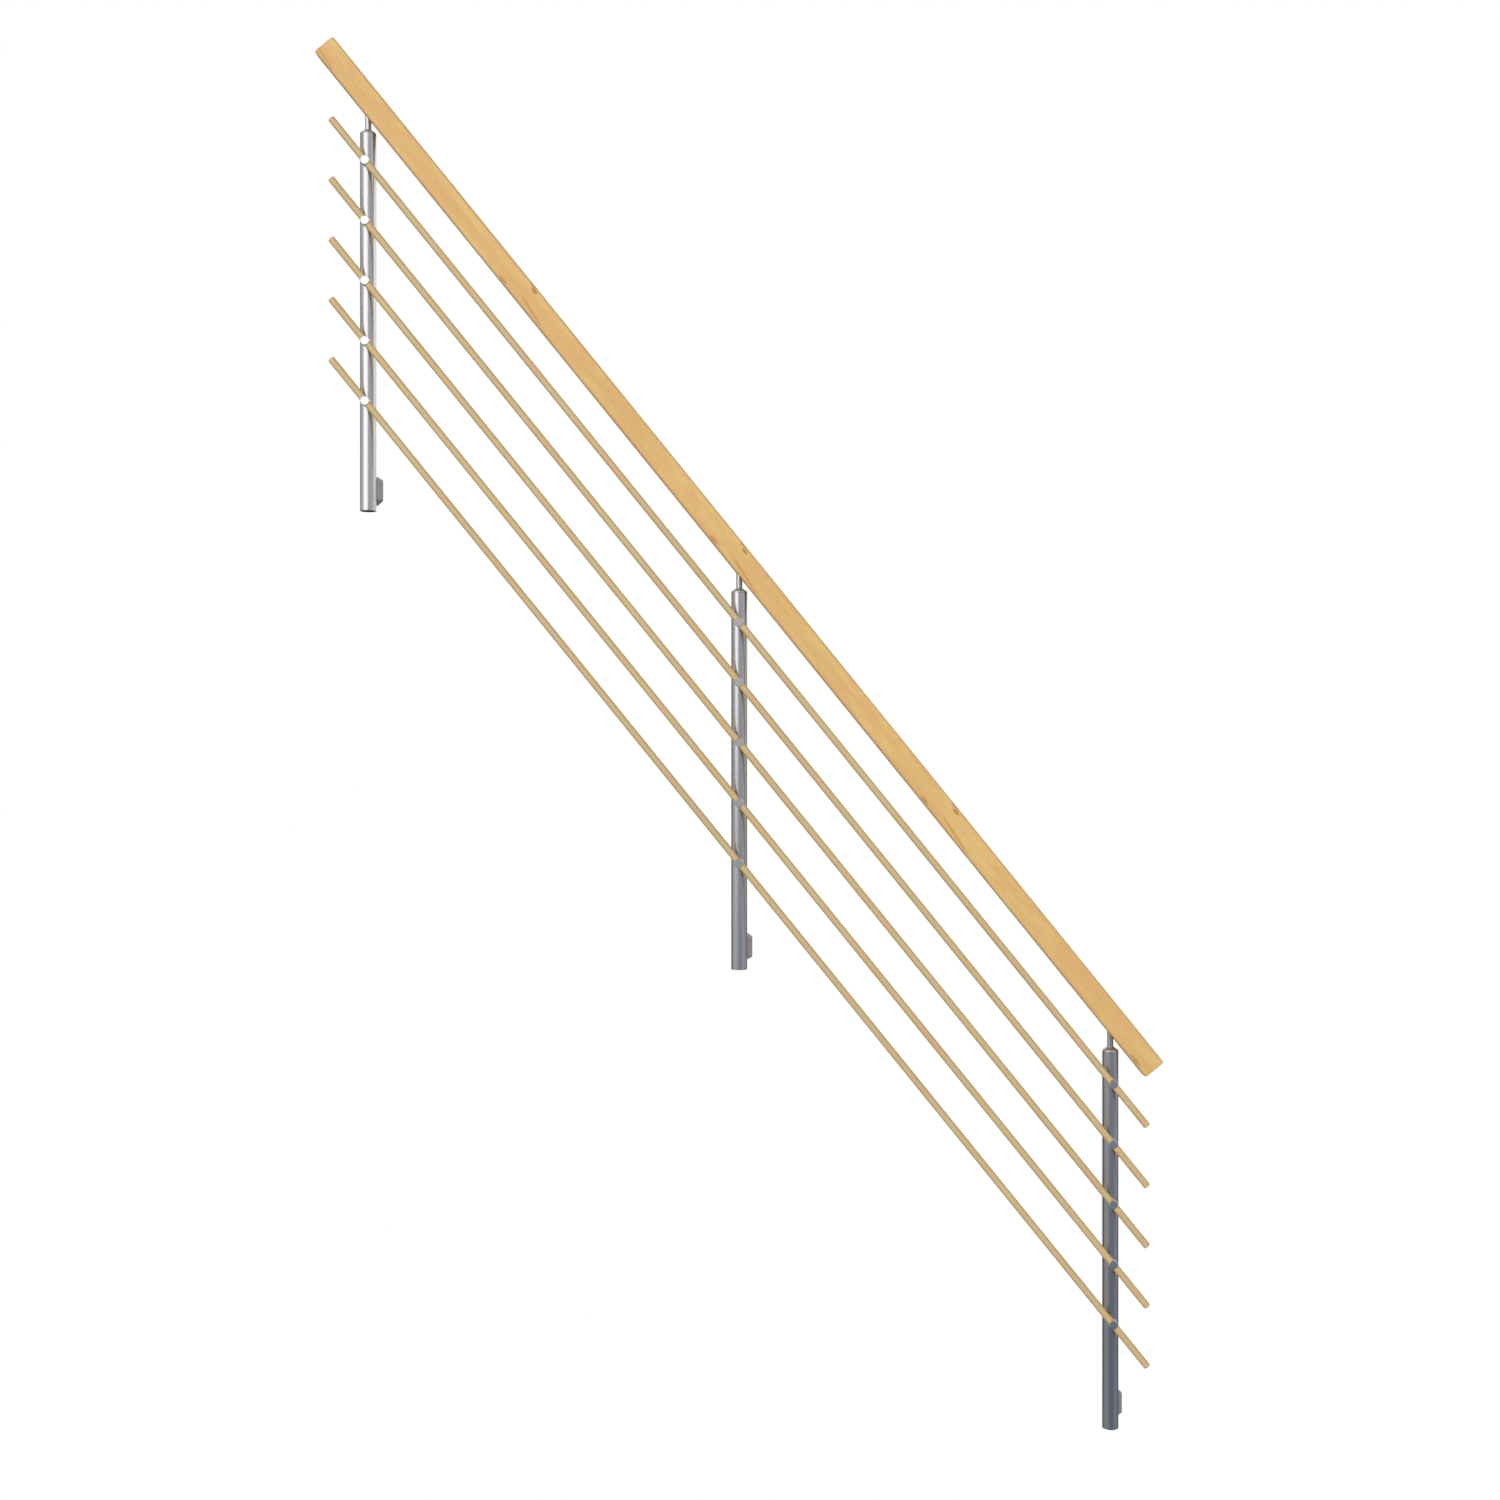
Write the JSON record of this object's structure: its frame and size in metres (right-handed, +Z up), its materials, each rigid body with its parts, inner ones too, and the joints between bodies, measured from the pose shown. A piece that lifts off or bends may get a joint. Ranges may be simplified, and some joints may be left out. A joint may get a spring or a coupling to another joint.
{
  "type": "stair balustrade panel",
  "caption": "Sloping stair balustrade panel: timber handrail on pins over round metal posts, timber infill bars in round holders, and side brackets for the stair string.",
  "frame": {"origin": "middle of the flat back of the lowest side bracket, between its two tapped holes", "axes": "+X runs down the flight, +Y points into the side of the stair, +Z is up; the infill bars are on the -Y side"},
  "size_m": [2.2132, 0.0805, 3.6347],
  "materials": {
    "timber": "clear lacquered light hardwood",
    "post_metal": "satin ground",
    "fitting_metal": "turned and satin polished",
    "bracket_metal": "matt blasted casting"
  },
  "bodies": {
    "root": {"handrail": "timber", "infill_bar_1": "timber", "infill_bar_2": "timber", "infill_bar_3": "timber", "infill_bar_4": "timber", "infill_bar_5": "timber", "post_lower": "post_metal", "post_cap_lower": "fitting_metal", "handrail_pin_lower": "fitting_metal", "side_bracket_lower": "bracket_metal", "bar_holder_lower_1": "fitting_metal", "bar_holder_lower_2": "fitting_metal", "bar_holder_lower_3": "fitting_metal", "bar_holder_lower_4": "fitting_metal", "bar_holder_lower_5": "fitting_metal", "post_middle": "post_metal", "post_cap_middle": "fitting_metal", "handrail_pin_middle": "fitting_metal", "side_bracket_middle": "bracket_metal", "bar_holder_middle_1": "fitting_metal", "bar_holder_middle_2": "fitting_metal", "bar_holder_middle_3": "fitting_metal", "bar_holder_middle_4": "fitting_metal", "bar_holder_middle_5": "fitting_metal", "post_upper": "post_metal", "post_cap_upper": "fitting_metal", "handrail_pin_upper": "fitting_metal", "side_bracket_upper": "bracket_metal", "bar_holder_upper_1": "fitting_metal", "bar_holder_upper_2": "fitting_metal", "bar_holder_upper_3": "fitting_metal", "bar_holder_upper_4": "fitting_metal", "bar_holder_upper_5": "fitting_metal"}
  },
  "joints": []
}
